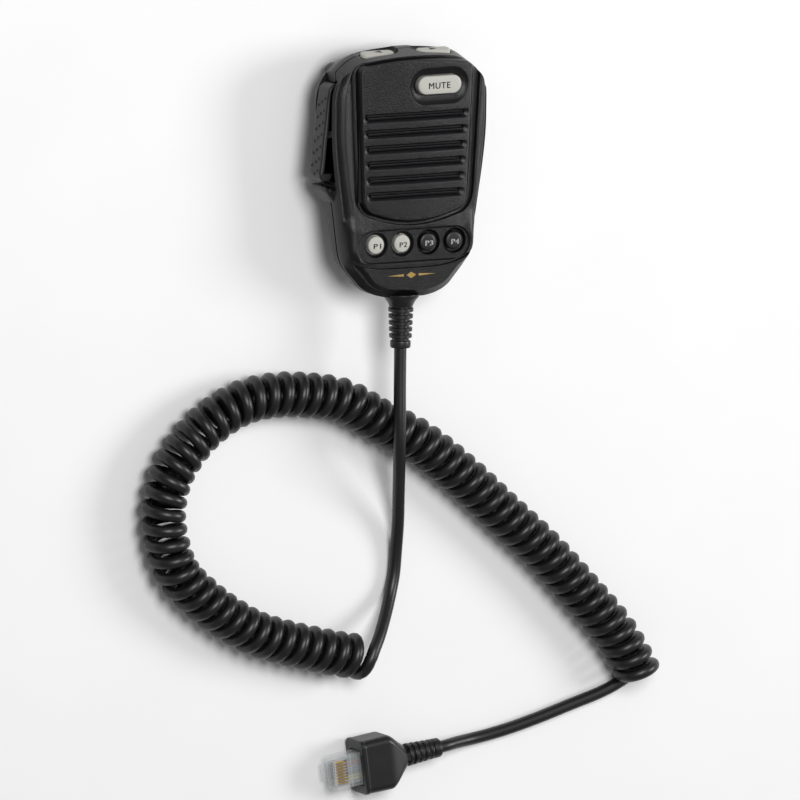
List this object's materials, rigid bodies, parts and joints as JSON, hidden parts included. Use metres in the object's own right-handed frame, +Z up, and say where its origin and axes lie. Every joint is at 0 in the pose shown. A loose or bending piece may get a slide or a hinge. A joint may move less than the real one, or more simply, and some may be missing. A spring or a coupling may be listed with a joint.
{
  "type": "hand microphone",
  "caption": "Palm-sized radio hand microphone with slotted grille, face keys, side talk bar, back hanger button, curly cord and modular plug.",
  "frame": {"origin": "on the surface that it lies on, at the middle of the microphone's own footprint (case, talk bar and strain relief, without cord and plug)", "axes": "+Z up out of the front face, +Y towards the microphone's top end, away from its cord, +X towards its right side as the face is read"},
  "size_m": [0.201, 0.2628, 0.0279],
  "materials": {
    "black_case": "fine-grained moulded black ABS",
    "satin_black": "satin moulded black plastic",
    "grey_key": "warm light grey key plastic",
    "cord_black": "satin black cord jacket",
    "soft_rubber": "matt silicone rubber",
    "steel": "plated steel",
    "gold_contact": "gold-plated contact",
    "board_green": "green solder mask",
    "switch_black": "black switch housing",
    "nylon": "natural nylon",
    "cloth": "fine black dust cloth",
    "clear_plastic": "clear polycarbonate"
  },
  "bodies": {
    "case": {"front_cover": "black_case", "rear_cover": "black_case", "hanger_button": "satin_black", "strain_relief": "cord_black", "inner_wires": "cord_black", "cord_lead": "cord_black", "cord_coil": "cord_black", "cord_tail": "cord_black", "plug_boot": "cord_black", "capsule_boot": "soft_rubber", "rubber_keypad": "soft_rubber", "mute_dome": "soft_rubber", "p1_dome": "soft_rubber", "p2_dome": "soft_rubber", "p3_dome": "soft_rubber", "p4_dome": "soft_rubber", "mic_capsule": "steel", "ptt_pin": "steel", "hanger_screw": "steel", "case_screw_1": "steel", "case_screw_2": "steel", "case_screw_3": "steel", "case_screw_4": "steel", "board_screw_1": "steel", "board_screw_2": "steel", "board_screw_3": "steel", "plug_contact_1": "gold_contact", "plug_contact_2": "gold_contact", "plug_contact_3": "gold_contact", "plug_contact_4": "gold_contact", "plug_contact_5": "gold_contact", "plug_contact_6": "gold_contact", "plug_contact_7": "gold_contact", "plug_contact_8": "gold_contact", "circuit_board": "board_green", "up_switch": "switch_black", "down_switch": "switch_black", "ptt_switch": "switch_black", "cable_header": "nylon", "grille_cloth": "cloth", "plug_body": "clear_plastic"},
    "mute_key": {"mute_button": "grey_key"},
    "p1_key": {"p1_button": "grey_key"},
    "p2_key": {"p2_button": "grey_key"},
    "p3_key": {"p3_button": "satin_black"},
    "p4_key": {"p4_button": "satin_black"},
    "up_key": {"up_button": "grey_key", "up_plunger": "nylon"},
    "down_key": {"down_button": "grey_key", "down_plunger": "nylon"},
    "ptt_bar": {"ptt_lever": "satin_black", "ptt_spring": "steel"},
    "ptt_plunger": {"ptt_plunger": "nylon"},
    "latch": {"plug_latch": "clear_plastic"}
  },
  "joints": [
    {"name": "mute_press", "type": "slide", "parent": "case", "child": "mute_key", "axis": [0, 0, -1], "range_m": [0, 0.0008], "stiffness_N_per_m": 400, "springref_m": -0.001, "deforming": ["mute_dome"]},
    {"name": "p1_press", "type": "slide", "parent": "case", "child": "p1_key", "axis": [0, 0, -1], "range_m": [0, 0.0008], "stiffness_N_per_m": 400, "springref_m": -0.001, "deforming": ["p1_dome"]},
    {"name": "p2_press", "type": "slide", "parent": "case", "child": "p2_key", "axis": [0, 0, -1], "range_m": [0, 0.0008], "stiffness_N_per_m": 400, "springref_m": -0.001, "deforming": ["p2_dome"]},
    {"name": "p3_press", "type": "slide", "parent": "case", "child": "p3_key", "axis": [0, 0, -1], "range_m": [0, 0.0008], "stiffness_N_per_m": 400, "springref_m": -0.001, "deforming": ["p3_dome"]},
    {"name": "p4_press", "type": "slide", "parent": "case", "child": "p4_key", "axis": [0, 0, -1], "range_m": [0, 0.0008], "stiffness_N_per_m": 400, "springref_m": -0.001, "deforming": ["p4_dome"]},
    {"name": "up_press", "type": "slide", "parent": "case", "child": "up_key", "axis": [0, -1, 0], "range_m": [0, 0.0008], "stiffness_N_per_m": 400, "springref_m": -0.001},
    {"name": "down_press", "type": "slide", "parent": "case", "child": "down_key", "axis": [0, -1, 0], "range_m": [0, 0.0008], "stiffness_N_per_m": 400, "springref_m": -0.001},
    {"name": "ptt_press", "type": "hinge", "parent": "case", "child": "ptt_bar", "pos_m": [-0.0256, 0.03717, 0.0145], "axis": [0, 0, 1], "range_deg": [0, 4.5], "stiffness_Nm_per_rad": 0.6, "springref_deg": -3.44},
    {"name": "ptt_plunger_slide", "type": "slide", "parent": "case", "child": "ptt_plunger", "axis": [1, 0, 0], "range_m": [0, 0.0012]},
    {"name": "latch_flex", "type": "hinge", "parent": "case", "child": "latch", "pos_m": [-0.01789, -0.20189, 0.0029], "axis": [0.1438, -0.9896, 0], "range_deg": [0, 8], "stiffness_Nm_per_rad": 0.05, "springref_deg": -2.86}
  ],
  "couplings": [
    {"joint": "ptt_plunger_slide", "follows": "ptt_press", "m_per_rad": 0.0145}
  ]
}
